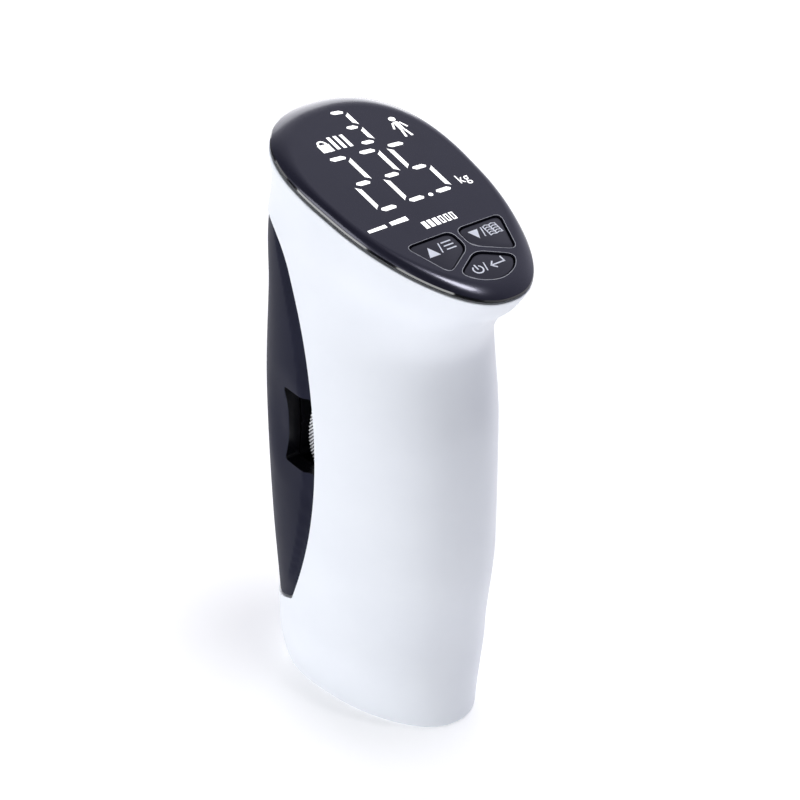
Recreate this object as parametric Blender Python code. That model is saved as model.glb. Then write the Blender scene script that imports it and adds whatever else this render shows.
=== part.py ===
"""Hand dynamometer: a one-hand grip-strength meter standing on its base.

+X is the palm side (low end of the display, push buttons), -X is the finger side
(the sliding grip), the plane Y = 0 is the symmetry plane and +Z is up.
The origin is the centre of the footprint of the bounding box, on the base plane.
Lengths below are in millimetres; MM turns them into metres.
"""
import math

import bmesh
import bpy
from mathutils import Matrix, Vector

MM = 0.001
GAP = 0.35                # running clearance between neighbouring pieces

# ---- driving dimensions: outer body -------------------------------------------------
RIM_Z = 120.2             # height of the head's rim plane on the middle line
TILT = math.radians(14.9)  # the display faces the user, low end on the palm side
SQUARENESS = 2.33         # exponent of the superellipse cross-section
EGG = 0.22                # the section is this much wider on the finger side
TILT_START = 0.3          # share of the height below which sections stay level
SIDE_PROFILE = [          # height, finger-side x, palm-side x
    (0.0, -31.9, 17.6),
    (3.6, -32.6, 17.5),
    (9.6, -31.8, 17.4),
    (18.0, -29.9, 17.5),
    (42.0, -31.7, 20.4),
    (72.0, -32.5, 20.5),
    (94.0, -31.6, 18.8),
    (106.0, -33.1, 23.7),
    (113.0, -32.5, 30.1),
    (RIM_Z, -34.7, 34.7),
]
HALF_WIDTHS = [(0.0, 15.7), (18.0, 20.0), (72.0, 21.4), (RIM_Z, 19.2)]
WALL = 2.0                # housing wall
FLOOR = 2.4               # housing floor
FOOT_EDGE = 1.2           # rounding of the base edge
SHELL_TOP = -0.7          # the shell ends this far below the rim plane

# ---- driving dimensions: the opening for the grip, in side view -----------------------
MOUTH_RADIUS = 93.0       # the shell's long curved edge is an arc
MOUTH_APEX_X = -4.5
MOUTH_MID_Z = 66.0
MOUTH_LOW_Z = 24.5        # the arc's lower end, a sharp corner
MOUTH_TURN_Z = 105.5      # the arc's upper end, where it turns over
MOUTH_TOP_Z = 113.3
LEDGE_Z = 20.0            # the foot's ledge at the finger side
NOSE_X = -33.0

# ---- driving dimensions: adjusting mechanism ----------------------------------------
TRAVEL = 10.0             # the grip slides out this far
AXIS_Z = 66.5             # height of the screw and wheel axis
WHEEL_R = 18.2
WHEEL_X = (-11.3, -3.3)
SCREW_R = 3.0
SCREW_X = (-28.0, 4.5)
SLOT_Z = (59.6, 77.4)     # thumb slot through the grip
SLOT_FRONT_X = -15.3      # its front edge at both ends
SLOT_BOW = 1.1            # the front edge bows inwards this far in the middle
SKIRT = TRAVEL + 6.0      # the grip's side walls reach this far under the shell
SKIRT_Z = (30.0, 104.0)
GRIP_WALL = 1.8
ROD_R = 2.0
RODS = {"lower": (42.0, -3.0), "upper": (94.0, 1.0)}    # height, inner end x
ROD_FRONT_X = -26.0
YOKE_X = (-16.0, 1.3)
YOKE_Y = 9.0
POCKET_X = (-12.9, -1.7)
POCKET_Z = (47.0, 86.2)
BACKPLATE_X = (-26.2, -22.4)

# ---- driving dimensions: force sensor ------------------------------------------------
CELL_X = (6.5, 14.5)
CELL_Y = 6.0
CELL_Z = (50.0, 98.0)
CELL_HOLES_Z = (69.0, 80.0)
CELL_HOLE_R = 3.2
BOLT_R = 1.5

# ---- driving dimensions: display and buttons, on the tilted face ---------------------
FACE_H = 1.9              # the display face above the rim plane
BEZEL_INSET = 0.35
BORDER = 2.9              # width of the rounded border
FASCIA_T = 1.3
BUTTON_TOP = 1.6
BUTTON_TRAVEL = 0.8
PCB_H = (-4.2, -2.6)
SIDE_BUTTON = [(13.9, 11.8), (13.9, 0.85), (19.1, 0.85), (23.8, 8.3)]   # down the face, across
END_BUTTON = [(21.1, 0.0), (25.2, 6.7), (28.3, 4.3), (29.7, 0.0)]
CORNER_R = 1.9
BUTTONS_Y = 0.4           # the middle of the three buttons, across the face
BUTTON_GAP = 0.3          # gap round each button
FLANGE = 0.55             # the button's hidden flange is this much wider
FLANGE_H = (-0.9, 0.1)
SWITCH_HALF = 1.6

# ---- driving dimensions: power ---------------------------------------------------------
CELL_AAA_R = 5.2
CELL_AAA_L = 43.7
NUB_R = 1.9
NUB_L = 0.8
BATTERY_X = 3.0
BATTERY_Y = 5.4
BATTERY_Z = 3.6
DOOR_EDGE_X = -5.4        # the straight edge of the battery door
DOOR_INSET = 2.9
DOOR_Z = (0.4, 2.3)

PARTS = bpy.data.collections.new("hand_dynamometer")
CUTTERS = bpy.data.collections.new("cutters")


# ---- scene, materials and object helpers ----------------------------------------------
def clear_scene():
    for obj in list(bpy.data.objects):
        bpy.data.objects.remove(obj, do_unlink=True)
    bpy.context.scene.collection.children.link(PARTS)
    bpy.context.scene.collection.children.link(CUTTERS)


def material(name, colour, roughness, metallic=0.0):
    mat = bpy.data.materials.new(name)
    mat.use_nodes = True
    shader = mat.node_tree.nodes["Principled BSDF"]
    shader.inputs["Base Color"].default_value = (*colour, 1.0)
    shader.inputs["Roughness"].default_value = roughness
    shader.inputs["Metallic"].default_value = metallic
    return mat


def add_object(name, bm, mat=None, smooth=False, origin=(0.0, 0.0, 0.0)):
    """Turn a bmesh in millimetres into an object whose origin is at the given point."""
    bmesh.ops.translate(bm, verts=bm.verts, vec=-Vector(origin))
    bmesh.ops.scale(bm, verts=bm.verts, vec=(MM, MM, MM))
    bmesh.ops.recalc_face_normals(bm, faces=bm.faces)
    mesh = bpy.data.meshes.new(name)
    bm.to_mesh(mesh)
    bm.free()
    obj = bpy.data.objects.new(name, mesh)
    obj.location = Vector(origin) * MM
    if mat is None:
        CUTTERS.objects.link(obj)
        obj.hide_render = True
        obj.display_type = "WIRE"
    else:
        PARTS.objects.link(obj)
        mesh.materials.append(mat)
    if smooth:
        mesh.shade_smooth()
        mesh.set_sharp_from_angle(angle=math.radians(35))
    return obj


def combine(obj, operation, *others):
    """Boolean the other objects into obj, in the order given."""
    for other in others:
        modifier = obj.modifiers.new(operation.lower() + "_" + other.name, "BOOLEAN")
        modifier.operation = operation
        modifier.solver = "EXACT"
        modifier.object = other


def cut(obj, *cutters):
    combine(obj, "DIFFERENCE", *cutters)


# ---- shape helpers --------------------------------------------------------------------
def box(x, y, z):
    """Box between two values on each axis."""
    bm = bmesh.new()
    bmesh.ops.create_cube(bm, size=1.0)
    spans = [(pair[1] - pair[0], (pair[0] + pair[1]) / 2) for pair in (x, y, z)]
    bmesh.ops.scale(bm, verts=bm.verts, vec=[span[0] for span in spans])
    bmesh.ops.translate(bm, verts=bm.verts, vec=[span[1] for span in spans])
    return bm


def rod(axis, start, end, centre, radius, segments=24):
    """Cylinder along the X, Y or Z axis; centre gives the two other coordinates."""
    bm = bmesh.new()
    bmesh.ops.create_cone(bm, cap_ends=True, segments=segments, radius1=radius,
                          radius2=radius, depth=end - start)
    middle = (start + end) / 2
    if axis == "X":
        turn = Matrix.Rotation(math.pi / 2, 4, "Y")
        place = (middle, centre[0], centre[1])
    elif axis == "Y":
        turn = Matrix.Rotation(math.pi / 2, 4, "X")
        place = (centre[0], middle, centre[1])
    else:
        turn = Matrix.Identity(4)
        place = (centre[0], centre[1], middle)
    bmesh.ops.transform(bm, verts=bm.verts, matrix=Matrix.Translation(place) @ turn)
    return bm


def turned(profile, segments, matrix):
    """Closed solid turned about Z from an (r, z) profile that starts and ends on the axis."""
    bm = bmesh.new()
    verts = [bm.verts.new((r, 0.0, z)) for r, z in profile]
    edges = [bm.edges.new(pair) for pair in zip(verts, verts[1:])]
    bmesh.ops.spin(bm, geom=verts + edges, cent=(0, 0, 0), axis=(0, 0, 1),
                   angle=math.tau, steps=segments, use_merge=True)
    bmesh.ops.remove_doubles(bm, verts=bm.verts, dist=0.001)
    bmesh.ops.transform(bm, verts=bm.verts, matrix=matrix)
    return bm


def loft(rings):
    """Closed solid through rings of equally many points, with flat ends."""
    bm = bmesh.new()
    loops = [[bm.verts.new(point) for point in ring] for ring in rings]
    count = len(loops[0])
    for low, high in zip(loops, loops[1:]):
        for i in range(count):
            j = (i + 1) % count
            bm.faces.new((low[i], low[j], high[j], high[i]))
    bm.faces.new(list(reversed(loops[0])))
    bm.faces.new(loops[-1])
    return bm


def band(rings):
    """Closed ring-shaped solid: the last ring joins back to the first."""
    bm = bmesh.new()
    loops = [[bm.verts.new(point) for point in ring] for ring in rings]
    count = len(loops[0])
    for low, high in zip(loops, loops[1:] + loops[:1]):
        for i in range(count):
            j = (i + 1) % count
            bm.faces.new((low[i], low[j], high[j], high[i]))
    return bm


def prism_y(outline, half_width):
    """Side-view outline of (x, z) points pushed out to both sides."""
    return loft([[(x, side * half_width, z) for x, z in outline] for side in (-1, 1)])


def smooth_value(table, z):
    """Monotone cubic through (z, value) pairs, level beyond both ends."""
    if z <= table[0][0]:
        return table[0][1]
    if z >= table[-1][0]:
        return table[-1][1]
    steps = [b[0] - a[0] for a, b in zip(table, table[1:])]
    slopes = [(b[1] - a[1]) / h for a, b, h in zip(table, table[1:], steps)]

    def tangent(i):
        if i == 0:
            return slopes[0]
        if i == len(slopes):
            return slopes[-1]
        if slopes[i - 1] * slopes[i] <= 0:
            return 0.0
        return 2 * slopes[i - 1] * slopes[i] / (slopes[i - 1] + slopes[i])

    i = max(k for k, pair in enumerate(table[:-1]) if pair[0] <= z)
    t = (z - table[i][0]) / steps[i]
    return ((2 * t ** 3 - 3 * t ** 2 + 1) * table[i][1]
            + (t ** 3 - 2 * t ** 2 + t) * steps[i] * tangent(i)
            + (3 * t ** 2 - 2 * t ** 3) * table[i + 1][1]
            + (t ** 3 - t ** 2) * steps[i] * tangent(i + 1))


# ---- the outer body's surface ---------------------------------------------------------
def egg_point(half_length, half_width, angle):
    """Point of the egg-shaped section, the wide end on the finger side."""
    c = math.cos(angle)
    s = math.sin(angle)
    x = half_length * math.copysign(abs(c) ** (2 / SQUARENESS), c)
    y = half_width * math.copysign(abs(s) ** (2 / SQUARENESS), s) * (1 - EGG * c)
    return x, y


def body_ring(z, inset=0.0, count=40):
    """Section of the body at a height on the middle line, drawn in by inset."""
    level = min(z, RIM_Z)
    front = smooth_value([(row[0], row[1]) for row in SIDE_PROFILE], level)
    back = smooth_value([(row[0], row[2]) for row in SIDE_PROFILE], level)
    half_width = smooth_value(HALF_WIDTHS, level)
    tilt = TILT * max(0.0, (level / RIM_Z - TILT_START) / (1 - TILT_START)) ** 1.5
    lift = z - level
    points = []
    for i in range(count):
        x, y = egg_point((back - front) / 2 - inset, half_width - inset, math.tau * i / count)
        points.append(((front + back) / 2 + x * math.cos(tilt) + lift * math.sin(tilt), y,
                       level - x * math.sin(tilt) + lift * math.cos(tilt)))
    return points


def body_loft(levels, inset, count):
    return loft([body_ring(z, inset, count) for z in levels])


def face_point(down, across, height):
    """Point on the display: down the face, across it, and above the rim plane."""
    return (down * math.cos(TILT) + height * math.sin(TILT), across,
            RIM_Z - down * math.sin(TILT) + height * math.cos(TILT))


def face_ring(inset, height, count=48):
    """Outline of the head at a height above the rim plane, drawn in by inset."""
    ring = []
    for i in range(count):
        x, y = egg_point(SIDE_PROFILE[-1][2] - inset, HALF_WIDTHS[-1][1] - inset,
                         math.tau * i / count)
        ring.append(face_point(x, y, height))
    return ring


def face_matrix(down, across, height):
    """Frame on the display: X down the face, Y across, Z out of it."""
    return (Matrix.Translation(face_point(down, across, height))
            @ Matrix.Rotation(TILT, 4, "Y"))


def face_box(down, across, height):
    bm = box(down, across, height)
    bmesh.ops.transform(bm, verts=bm.verts, matrix=face_matrix(0, 0, 0))
    return bm


def mouth_x(z):
    """Side-view x of the shell's long curved edge."""
    return (MOUTH_APEX_X - MOUTH_RADIUS
            + math.sqrt(MOUTH_RADIUS ** 2 - (z - MOUTH_MID_Z) ** 2))


def mouth_outline(shift=0.0):
    """Side-view outline of the opening that the grip fills, drawn in by shift."""
    corner_x = mouth_x(MOUTH_LOW_Z)
    rise = MOUTH_LOW_Z - LEDGE_Z
    far_x = NOSE_X - 20
    points = [(far_x, LEDGE_Z + shift)]
    for i in range(6):
        t = i / 5
        x = NOSE_X + t * (corner_x - NOSE_X)
        points.append((x - shift * t, LEDGE_Z + rise * t * t + shift))
    for i in range(1, 17):
        z = MOUTH_LOW_Z + i * (MOUTH_TURN_Z - MOUTH_LOW_Z) / 16
        points.append((mouth_x(z) - shift, z))
    turn = Vector((mouth_x(MOUTH_TURN_Z), MOUTH_TURN_Z))
    knee = Vector((turn.x - 4.1, MOUTH_TOP_Z))
    level = Vector((turn.x - 12.6, MOUTH_TOP_Z))
    for i in range(1, 6):
        t = i / 5
        point = turn * (1 - t) ** 2 + knee * 2 * t * (1 - t) + level * t * t
        points.append((point.x - shift * (1 - t), point.y - shift * t))
    points.append((far_x, MOUTH_TOP_Z - shift))
    return points


# ---- housing --------------------------------------------------------------------------
def make_housing(white):
    levels = [FOOT_EDGE, 3.6, 9.6, 18, 26, 34, 42, 52, 62, 72, 82, 90, 96, 101, 106, 110,
              113, 116, RIM_Z + SHELL_TOP]
    rings = [body_ring(0.0, FOOT_EDGE), body_ring(0.35, 0.35)]
    rings += [body_ring(z) for z in levels]
    housing = add_object("palm_housing", loft(rings), white, smooth=True)
    cavity = body_loft([FLOOR, 9, 18, 30, 42, 57, 72, 84, 94, 101, 106, 110, 113, 117, RIM_Z + 4],
                       WALL, 32)
    cut(housing,
        add_object("cavity_cutter", cavity),
        add_object("mouth_cutter", prism_y(mouth_outline(), 40.0)),
        add_object("door_cutter", door_solid(DOOR_INSET - 0.3, DOOR_EDGE_X - 0.3, -1.0, 4.0)))
    return housing


def door_solid(inset, edge_x, low, high):
    """The base outline drawn in, cut off straight at edge_x."""
    ring = [(x, y) for x, y, _ in body_ring(0.0, inset, 64)]
    side = [point for point in ring[:33] if point[0] > edge_x]
    inner = side[-1]
    outer = ring[len(side)]
    share = (inner[0] - edge_x) / (inner[0] - outer[0])
    side.append((edge_x, inner[1] + share * (outer[1] - inner[1])))
    outline = side + [(x, -y) for x, y in reversed(side[1:])]
    return loft([[(x, y, z) for x, y in outline] for z in (low, high)])


# ---- finger grip and what travels with it --------------------------------------------
def make_grip(black):
    grip = add_object("finger_grip",
                      body_loft([15, 22, 30, 38, 46, 56, 66, 76, 86, 94, 100, 106, 110, 116],
                                GAP, 40), black, smooth=True)
    pad_region = add_object("pad_region", prism_y(mouth_outline(GAP), 40.0))
    skirt = add_object("grip_skirt", body_loft([SKIRT_Z[0], 42, 52, 62, 72, 82, 92, 100,
                                                SKIRT_Z[1] + 4], WALL + GAP, 32))
    skirt_outline = [(NOSE_X + 8, SKIRT_Z[0] + 1), (mouth_x(SKIRT_Z[0]) + SKIRT, SKIRT_Z[0] + 1)]
    for i in range(1, 8):
        z = SKIRT_Z[0] + i * (SKIRT_Z[1] - SKIRT_Z[0]) / 8
        skirt_outline.append((mouth_x(z) + SKIRT, z))
    skirt_outline += [(mouth_x(SKIRT_Z[1]) + SKIRT, SKIRT_Z[1]), (NOSE_X + 8, SKIRT_Z[1])]
    skirt_region = add_object("skirt_region", prism_y(skirt_outline, 40.0))
    combine(skirt, "INTERSECT", skirt_region)
    hollow = add_object("grip_hollow", body_loft([27.5, 36, 46, 56, 66, 76, 86, 94, 100, 106],
                                                 WALL + GAP + GRIP_WALL, 32))
    slot = add_object("thumb_slot", prism_y(slot_outline(), 40.0))
    combine(grip, "INTERSECT", pad_region)
    combine(grip, "UNION", skirt)
    wheel_way = add_object("wheel_way", rod("X", WHEEL_X[0] - 0.6, 25, (0, AXIS_Z),
                                            WHEEL_R + 0.5, 48))
    cut(grip, hollow, slot, wheel_way)
    return grip


def slot_outline():
    """Thumb slot in side view: open at the back, its front edge bowed inwards."""
    low, high = SLOT_Z
    points = [(20.0, low)]
    for i in range(7):
        t = i / 6
        bow = 1.0 - (2 * t - 1) ** 2
        points.append((SLOT_FRONT_X + SLOT_BOW * bow, low + t * (high - low)))
    points.append((20.0, high))
    return points


def make_drive(steel, dark):
    plate = add_object("grip_backplate", box(BACKPLATE_X, (-5.5, 5.5), (37.5, 98.5)), dark)
    cut(plate, add_object("screw_seat_cutter",
                          rod("X", -40, 0, (0, AXIS_Z), SCREW_R + 0.3, 16)))
    add_object("lead_screw", rod("X", *SCREW_X, (0, AXIS_Z), SCREW_R, 20), steel, smooth=True)
    for label, (z, inner_end) in RODS.items():
        cut(plate, add_object("rod_seat_cutter_" + label,
                              rod("X", -40, 0, (0, z), ROD_R + 0.3, 16)))
        add_object("guide_rod_" + label, rod("X", ROD_FRONT_X, inner_end, (0, z), ROD_R, 16),
                   steel, smooth=True)
    for label, z in (("lower", 54.0), ("upper", 82.0)):
        cut(plate, add_object("plate_screw_cutter_" + label,
                              rod("X", -40, 0, (0, z), 1.6, 12)))
        head = rod("X", BACKPLATE_X[1] + 0.3, BACKPLATE_X[1] + 2.0, (0, z), 2.6, 16)
        shank = rod("X", BACKPLATE_X[0] - 1.0, BACKPLATE_X[1] + 1.0, (0, z), 1.25, 12)
        screw = add_object("plate_screw_" + label, head, steel, smooth=True)
        combine(screw, "UNION", add_object("plate_screw_shank_" + label, shank))


def make_wheel(steel):
    """Knurled wheel, also the nut on the lead screw; its axis runs along X."""
    front, back = WHEEL_X
    middle = ((front + back) / 2, 0.0, AXIS_Z)
    half = (back - front) / 2
    profile = [(0.0, half), (WHEEL_R - 0.8, half), (WHEEL_R, half - 0.8),
               (WHEEL_R, -half + 0.8), (WHEEL_R - 0.8, -half), (0.0, -half)]
    disc = turned(profile, 48, Matrix.Translation(middle) @ Matrix.Rotation(math.pi / 2, 4, "Y"))
    wheel = add_object("adjust_wheel", disc, steel, smooth=True, origin=middle)
    cut(wheel, add_object("wheel_thread_cutter",
                          rod("X", front - 5, back + 5, (0, AXIS_Z), SCREW_R + 0.05, 20)))


def make_washers(steel):
    for label, x in (("front", POCKET_X[0] + 0.3), ("rear", POCKET_X[1] - 1.3)):
        washer = add_object("thrust_washer_" + label,
                            rod("X", x, x + 1.0, (0, AXIS_Z), 7.0, 24), steel, smooth=True)
        cut(washer, add_object("washer_bore_" + label,
                               rod("X", x - 2, x + 3, (0, AXIS_Z), SCREW_R + 0.6, 20)))


def make_yoke(alloy):
    """Aluminium yoke: holds the wheel, guides the rods and hangs on the force sensor."""
    yoke = add_object("wheel_yoke", box(YOKE_X, (-YOKE_Y, YOKE_Y), (49.5, CELL_Z[1])), alloy)
    lower = add_object("yoke_lower_block",
                       box((YOKE_X[0], -6.0), (-YOKE_Y, YOKE_Y), (37.5, 60.0)))
    spacer = add_object("yoke_cell_seat",
                        box((0.5, CELL_X[0] - 0.3), (-CELL_Y, CELL_Y), (88.5, CELL_Z[1])))
    combine(yoke, "UNION", lower, spacer)
    cut(yoke,
        add_object("wheel_pocket", box(POCKET_X, (-30, 30), POCKET_Z)),
        add_object("screw_way", rod("X", -40, 40, (0, AXIS_Z), SCREW_R + 1.2, 20)),
        add_object("rod_way_lower", rod("X", -40, 1.9, (0, RODS["lower"][0]), ROD_R + 0.35, 16)),
        add_object("rod_way_upper", rod("X", -40, 1.9, (0, RODS["upper"][0]), ROD_R + 0.35, 16)),
        add_object("bolt_way_upper", rod("X", 2.6, 40, (0, RODS["upper"][0]), BOLT_R + 0.3, 16)))


# ---- force sensor -----------------------------------------------------------------------
def make_sensor(alloy, steel, film):
    cell = add_object("load_cell", box(CELL_X, (-CELL_Y, CELL_Y), CELL_Z), alloy)
    low, high = CELL_HOLES_Z
    middle = (CELL_X[0] + CELL_X[1]) / 2
    cutters = [add_object("cell_hole_low", rod("Y", -20, 20, (middle, low), CELL_HOLE_R, 20)),
               add_object("cell_hole_high", rod("Y", -20, 20, (middle, high), CELL_HOLE_R, 20)),
               add_object("cell_slit", box((middle - 1, middle + 1), (-20, 20), (low, high)))]
    bolt_rows = {"upper": (RODS["upper"][0], 3.2, CELL_X[1] + 0.3, 1),
                 "lower": (55.0, 17.2, CELL_X[0] - 0.3, -1)}
    for label, (z, tip, seat, direction) in bolt_rows.items():
        cutters.append(add_object("cell_bolt_hole_" + label,
                                  rod("X", 0, 40, (0, z), BOLT_R + 0.3, 16)))
        head_far = seat + direction * 1.4
        head = rod("X", min(seat, head_far), max(seat, head_far), (0, z), 2.8, 16)
        shank_far = seat + direction * 0.7
        shank = rod("X", min(tip, shank_far), max(tip, shank_far), (0, z), BOLT_R, 16)
        bolt = add_object("cell_bolt_" + label, head, steel, smooth=True)
        combine(bolt, "UNION", add_object("cell_bolt_shank_" + label, shank))
    cut(cell, *cutters)
    mount = add_object("cell_mount", box((CELL_X[1] + 0.3, 17.2), (-4.8, 4.8), (50, 61)), alloy)
    cut(mount, add_object("mount_bolt_hole", rod("X", 0, 40, (0, 55.0), BOLT_R + 0.3, 16)))
    for label, x in (("front", CELL_X[0] - 0.4), ("rear", CELL_X[1] + 0.1)):
        add_object("strain_gauge_" + label,
                   box((x, x + 0.3), (-2.5, 2.5), (low - 2.5, high + 2.5)), film)


# ---- display and electronics ----------------------------------------------------------
def make_head(gloss, satin, rubber, board, dark, light):
    inner = BEZEL_INSET + BORDER
    bezel_rings = [face_ring(inner, FACE_H), face_ring(BEZEL_INSET + 1.6, FACE_H - 0.25),
                   face_ring(BEZEL_INSET + 0.6, FACE_H - 0.8),
                   face_ring(BEZEL_INSET, 0.45), face_ring(BEZEL_INSET + 0.2, 0.1),
                   face_ring(inner, 0.1)]
    add_object("bezel_ring", band(bezel_rings), gloss, smooth=True)
    gasket_rings = [face_ring(0.7, -0.1), face_ring(0.7, -0.45), face_ring(3.0, -0.45),
                    face_ring(3.0, -0.1)]
    add_object("bezel_gasket", band(gasket_rings), rubber, smooth=True)
    chassis_rings = [face_ring(5.2, -4.5, 32), face_ring(5.2, -6.2, 32),
                     face_ring(9.0, -6.2, 32), face_ring(9.0, -4.5, 32)]
    add_object("display_chassis", band(chassis_rings), dark)
    fascia = add_object("display_fascia",
                        loft([face_ring(inner + GAP, FACE_H - FASCIA_T),
                              face_ring(inner + GAP, FACE_H)]), satin)
    for label, outline in button_outlines().items():
        hole = [offset_outline(outline, BUTTON_GAP, height) for height in (-2.0, 4.0)]
        cut(fascia, add_object("button_hole_" + label, loft(hole)))
    add_object("main_pcb", loft([face_ring(5.6, PCB_H[0], 32), face_ring(5.6, PCB_H[1], 32)]),
               board)
    add_object("led_module", face_box((-24.5, 9.5), (-11.5, 11.5), (PCB_H[1] + 0.3, 0.35)), light)
    add_object("controller_chip", face_box((-6, 4), (-5, 5), (PCB_H[0] - 1.5, PCB_H[0] - 0.3)),
               dark)
    buzzer = rod("Z", PCB_H[0] - 3.3, PCB_H[0] - 0.3, (-16.0, 0.0), 4.5, 24)
    bmesh.ops.transform(buzzer, verts=buzzer.verts, matrix=face_matrix(0, 0, 0))
    add_object("buzzer", buzzer, dark, smooth=True)


def rounded(corners, radius):
    """Round each corner of a polygon with a short arc of four points."""
    points = []
    count = len(corners)
    for i, corner in enumerate(corners):
        corner = Vector(corner)
        before = (Vector(corners[i - 1]) - corner).normalized()
        after = (Vector(corners[(i + 1) % count]) - corner).normalized()
        for t in (0.0, 1 / 3, 2 / 3, 1.0):
            points.append(corner + radius * (before * (1 - t) ** 2 + after * t ** 2))
    return points


def button_outlines():
    """Three button outlines on the face; the gaps between them make a Y."""
    right = rounded(SIDE_BUTTON, CORNER_R)
    left = [Vector((point.x, -point.y)) for point in reversed(right)]
    half = END_BUTTON[1:-1]
    mirrored = [(down, -across) for down, across in reversed(half)]
    end = rounded([END_BUTTON[0]] + half + [END_BUTTON[-1]] + mirrored, CORNER_R)
    return {"up": left, "down": right, "power": end}


def offset_outline(outline, distance, height):
    """Outline grown by distance from its middle, placed at a height above the rim plane."""
    middle = sum(outline, Vector((0.0, 0.0))) / len(outline)
    ring = []
    for point in outline:
        spread = point - middle
        grown = middle + spread * (1 + distance / spread.length)
        ring.append(face_point(grown.x, grown.y + BUTTONS_Y, height))
    return ring


def make_buttons(satin, steel):
    low, high = FLANGE_H
    for label, outline in button_outlines().items():
        rings = [offset_outline(outline, FLANGE, low), offset_outline(outline, FLANGE, high),
                 offset_outline(outline, 0.0, high + 0.02),
                 offset_outline(outline, 0.0, BUTTON_TOP - 0.3),
                 offset_outline(outline, -0.35, BUTTON_TOP)]
        middle = sum(outline, Vector((0.0, 0.0))) / len(outline) + Vector((0.0, BUTTONS_Y))
        add_object("button_" + label, loft(rings), satin, origin=face_point(*middle, 0.0))
        add_object("switch_" + label,
                   face_box((middle.x - SWITCH_HALF, middle.x + SWITCH_HALF),
                            (middle.y - SWITCH_HALF, middle.y + SWITCH_HALF),
                            (PCB_H[1] + 0.1, low - BUTTON_TRAVEL - 0.1)), steel)


# ---- power and wiring --------------------------------------------------------------------
def make_power(steel, label_paint, white, board):
    top = BATTERY_Z + CELL_AAA_L
    profile = [(0.0, top + NUB_L), (NUB_R, top + NUB_L), (NUB_R, top), (CELL_AAA_R - 0.5, top),
               (CELL_AAA_R, top - 0.5), (CELL_AAA_R, BATTERY_Z + 0.5),
               (CELL_AAA_R - 0.5, BATTERY_Z), (0.0, BATTERY_Z)]
    for label, side in (("left", -1), ("right", 1)):
        place = Matrix.Translation((BATTERY_X, side * BATTERY_Y, 0.0))
        add_object("battery_cell_" + label, turned(profile, 24, place), label_paint, smooth=True)
    contact_z = top + NUB_L + 0.2
    add_object("battery_top_contact", box((-2.0, 8.0), (-9.5, 9.5), (contact_z, contact_z + 0.7)),
               board)
    door = add_object("battery_door", door_solid(DOOR_INSET, DOOR_EDGE_X, *DOOR_Z), white)
    cut(door, add_object("door_pull_cutter", box((-4.2, -2.6), (-5.0, 5.0), (-1.0, DOOR_Z[0] + 0.6))))
    add_object("battery_door_contact",
               box((-1.0, 7.0), (-8.0, 8.0), (DOOR_Z[1] + 0.3, DOOR_Z[1] + 0.8)), steel)


def make_loom(name, route, radius, mat):
    """Wire bundle: a curve tube turned into a closed mesh."""
    curve = bpy.data.curves.new(name, "CURVE")
    curve.dimensions = "3D"
    curve.bevel_depth = radius * MM
    curve.bevel_resolution = 2
    curve.use_fill_caps = True
    spline = curve.splines.new("POLY")
    spline.points.add(len(route) - 1)
    for point, place in zip(spline.points, route):
        point.co = (*[value * MM for value in place], 1.0)
    curve_object = bpy.data.objects.new(name + "_curve", curve)
    CUTTERS.objects.link(curve_object)
    bpy.context.view_layer.update()
    evaluated = curve_object.evaluated_get(bpy.context.evaluated_depsgraph_get())
    mesh = bpy.data.meshes.new_from_object(evaluated)
    bm = bmesh.new()
    bm.from_mesh(mesh)
    bmesh.ops.remove_doubles(bm, verts=bm.verts, dist=0.000001)
    bmesh.ops.recalc_face_normals(bm, faces=bm.faces)
    bm.to_mesh(mesh)
    bm.free()
    bpy.data.objects.remove(curve_object, do_unlink=True)
    mesh.materials.clear()
    mesh.materials.append(mat)
    mesh.shade_smooth()
    PARTS.objects.link(bpy.data.objects.new(name, mesh))


def make_wiring(wire_a, wire_b):
    make_loom("signal_loom", [(10.0, 7.4, 72.0), (10.2, 8.0, 82.0), (10.2, 8.4, 92.0),
                              (9.0, 8.4, 100.0), (7.0, 7.9, 107.0), (6.4, 7.4, 112.8)], 0.8, wire_a)
    make_loom("power_loom", [(7.2, -8.6, 50.2), (9.6, -8.4, 57.0), (10.4, -8.2, 68.0),
                             (10.4, -8.2, 88.0), (9.0, -8.4, 99.0), (7.0, -7.9, 107.0),
                             (6.4, -7.4, 112.8)], 0.8, wire_b)


def main():
    clear_scene()
    white = material("housing_white", (0.86, 0.87, 0.89), 0.35)
    satin = material("fascia_satin", (0.045, 0.045, 0.055), 0.45)
    gloss = material("bezel_gloss", (0.02, 0.02, 0.025), 0.12)
    black = material("grip_black", (0.035, 0.035, 0.04), 0.55)
    rubber = material("gasket_rubber", (0.01, 0.01, 0.01), 0.8)
    steel = material("bright_steel", (0.75, 0.75, 0.76), 0.25, 1.0)
    alloy = material("alloy", (0.62, 0.63, 0.65), 0.4, 1.0)
    dark = material("dark_plastic", (0.06, 0.06, 0.065), 0.6)
    board = material("circuit_board", (0.02, 0.16, 0.07), 0.5)
    film = material("gauge_film", (0.65, 0.35, 0.08), 0.5)
    light = material("display_body", (0.85, 0.85, 0.88), 0.5)
    cell_paint = material("battery_paint", (0.12, 0.2, 0.4), 0.4)
    wire_a = material("signal_wire", (0.55, 0.55, 0.58), 0.6)
    wire_b = material("power_wire", (0.5, 0.04, 0.03), 0.6)
    make_housing(white)
    make_grip(black)
    make_drive(steel, dark)
    make_wheel(steel)
    make_washers(steel)
    make_yoke(alloy)
    make_sensor(alloy, steel, film)
    make_head(gloss, satin, rubber, board, dark, light)
    make_buttons(satin, steel)
    make_power(steel, cell_paint, white, board)
    make_wiring(wire_a, wire_b)


main()
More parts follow.
